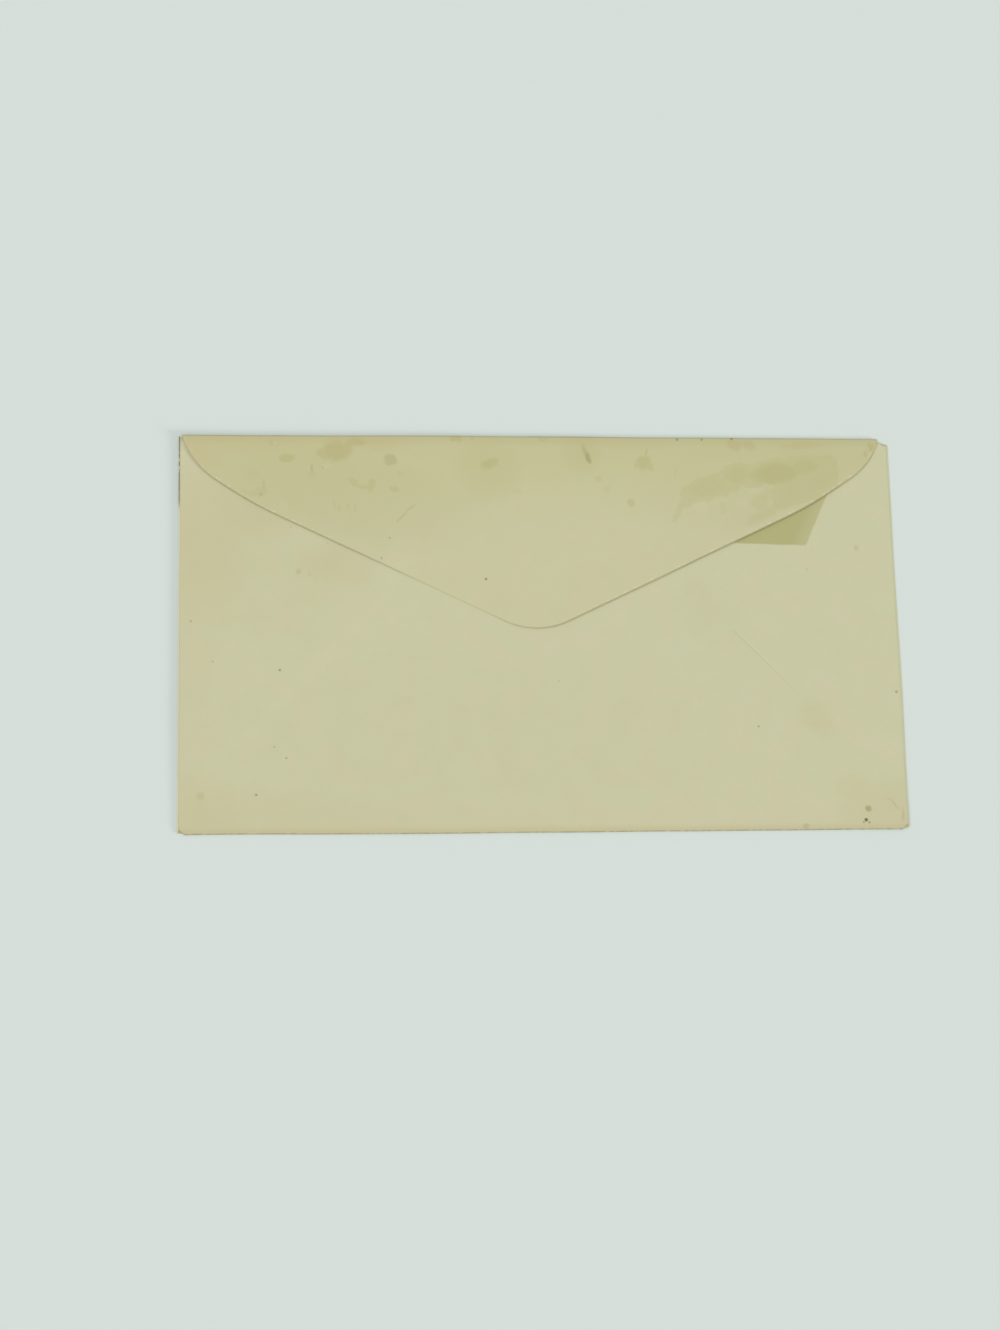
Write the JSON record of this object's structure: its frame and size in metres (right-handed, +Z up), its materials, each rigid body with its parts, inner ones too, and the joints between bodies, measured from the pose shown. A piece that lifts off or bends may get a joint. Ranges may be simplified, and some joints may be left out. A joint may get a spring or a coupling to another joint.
{
  "type": "paper envelope",
  "caption": "Old letter envelope folded from one sheet of thin paper, lying on its address side with its pointed closing flap shut.",
  "frame": {"origin": "middle of the underside of the closed envelope, on the surface that it lies on", "axes": "+X along the long side, +Y from the bottom fold to the closing flap's fold, +Z up out of the back panel"},
  "size_m": [0.165, 0.092, 0.001],
  "materials": {
    "aged_paper": "matt uncoated writing paper, yellowed with age"
  },
  "bodies": {
    "root": {"envelope": "aged_paper"}
  },
  "joints": []
}
